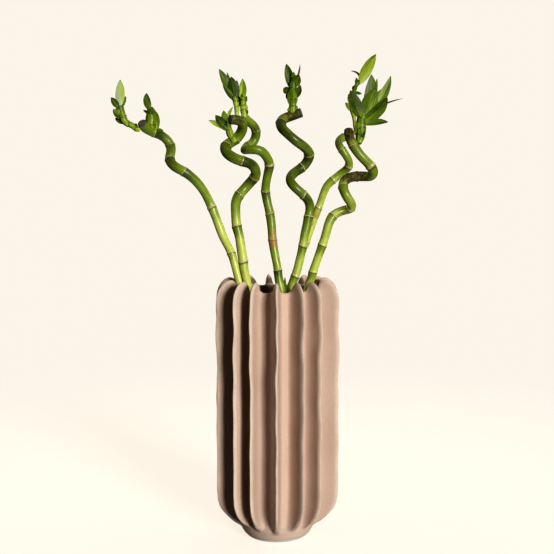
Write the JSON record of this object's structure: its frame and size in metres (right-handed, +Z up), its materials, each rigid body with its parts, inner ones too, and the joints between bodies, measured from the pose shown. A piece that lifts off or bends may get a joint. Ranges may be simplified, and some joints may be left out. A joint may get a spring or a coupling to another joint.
{
  "type": "potted plant",
  "caption": "Lucky bamboo: curled green canes with leafy shoots and waxed tips, standing in water in a matte pinkish-beige ceramic vase with deep wavy fins like a cactus.",
  "frame": {"origin": "centre of the vase's foot, on its flat underside", "axes": "+Z up along the vase's axis, -Y towards the viewer of the front, +X to the front's right"},
  "size_m": [0.3174, 0.1438, 0.5373],
  "materials": {
    "ceramic": "matte",
    "water": "gloss",
    "cane": "satin",
    "wax": "matte",
    "leaf": "satin",
    "young_leaf": "satin"
  },
  "bodies": {
    "root": {"vase": "ceramic", "water": "water", "cane_1": "cane", "cane_2": "cane", "cane_3": "cane", "cane_4": "cane", "cane_5": "cane", "cane_6": "cane", "wax_1": "wax", "wax_2": "wax", "wax_4": "wax", "wax_6": "wax", "shoot_1": "young_leaf", "shoot_2": "leaf", "shoot_3": "leaf", "shoot_4": "leaf", "shoot_5": "young_leaf", "shoot_6": "leaf", "shoot_7": "young_leaf", "shoot_8": "leaf", "shoot_9": "leaf"}
  },
  "joints": []
}
